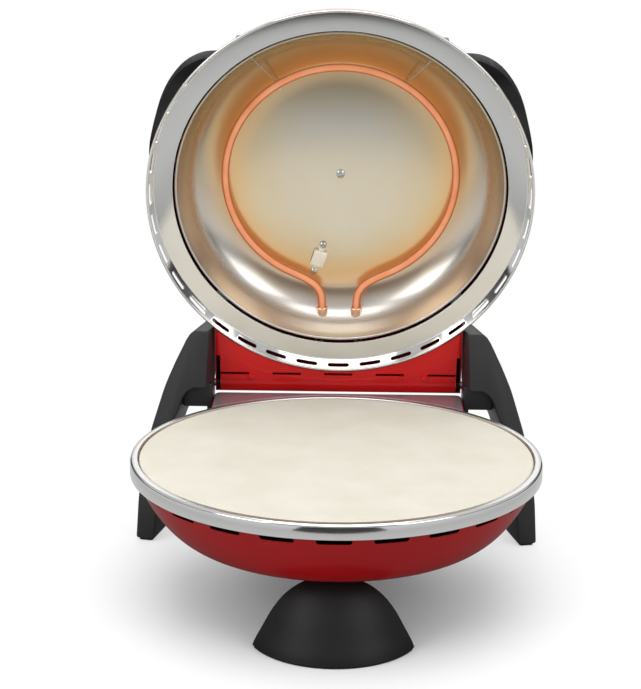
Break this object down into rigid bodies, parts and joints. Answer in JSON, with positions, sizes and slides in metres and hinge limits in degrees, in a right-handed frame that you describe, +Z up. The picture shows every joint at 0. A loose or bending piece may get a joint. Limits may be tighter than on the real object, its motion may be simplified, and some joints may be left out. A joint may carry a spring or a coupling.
{
  "type": "countertop pizza oven",
  "caption": "Round clamshell pizza oven: fixed baking stone in a red bowl base, hinged domed lid with a ring heating element, splayed rear legs and a domed front foot.",
  "frame": {"origin": "centre of the open oven's overall box, on the worktop, 36 mm behind the baking stone's axis", "axes": "+Z up, -Y towards the user (the lid's handle side), +X to the user's right; hinge axis along X"},
  "size_m": [0.3456, 0.3963, 0.457],
  "materials": {
    "red_paint": "gloss",
    "stainless_trim": "polished and satin",
    "fired_stone": "matte fired clay",
    "reflector_steel": "satin",
    "element_sheath": "heated, matte oxide",
    "bush_steel": "satin",
    "screw_steel": "bright",
    "brass_contact": "bright",
    "black_plastic": "fine grained",
    "rubber_black": "matte",
    "wire_sleeve": "braided sleeve",
    "moulded_white": "semi-gloss",
    "dial_steel": "satin",
    "lamp_amber": "clear",
    "grey_trim": "satin"
  },
  "bodies": {
    "base": {"base_shell": "red_paint", "base_ring": "stainless_trim", "stone": "fired_stone", "base_tray": "reflector_steel", "lower_element": "element_sheath", "lower_ferrules": "bush_steel", "lower_terminals": "brass_contact", "lower_clips": "reflector_steel", "clip_screws": "screw_steel", "deck_plate": "stainless_trim", "front_foot": "black_plastic", "front_foot_pad": "rubber_black", "foot_screws": "screw_steel", "left_leg": "black_plastic", "right_leg": "black_plastic", "leg_pads": "rubber_black", "leg_screws": "screw_steel", "hinge_pins": "screw_steel", "terminal_block": "moulded_white", "base_wiring": "wire_sleeve", "strain_relief": "black_plastic", "power_cord": "rubber_black", "plug": "black_plastic", "plug_pins": "brass_contact"},
    "lid": {"lid_shell": "red_paint", "lid_ring": "stainless_trim", "lid_reflector": "reflector_steel", "reflector_straps": "reflector_steel", "upper_element": "element_sheath", "upper_ferrules": "bush_steel", "upper_terminals": "brass_contact", "element_hooks": "screw_steel", "sensor_clip": "reflector_steel", "clip_rivets": "screw_steel", "sensor_bulb": "bush_steel", "thermostat_bracket": "reflector_steel", "centre_screw": "screw_steel", "thermostat": "moulded_white", "dial_plate": "dial_steel", "indicator_lamp": "lamp_amber", "lid_panel": "red_paint", "panel_screws": "screw_steel", "hinge_plates": "screw_steel", "handle": "black_plastic", "handle_trim": "grey_trim", "handle_screws": "screw_steel", "lid_wiring": "wire_sleeve"},
    "knob": {"knob": "black_plastic", "knob_spindle": "screw_steel"}
  },
  "joints": [
    {"name": "lid_hinge", "type": "hinge", "parent": "base", "child": "lid", "pos_m": [0, 0.14085, 0.1264], "axis": [-1, 0, 0], "range_deg": [-78, 0]},
    {"name": "thermostat_turn", "type": "hinge", "parent": "lid", "child": "knob", "pos_m": [0, 0.16939, 0.31342], "axis": [0, 0.9781, 0.2079], "range_deg": [-270, 0]}
  ]
}
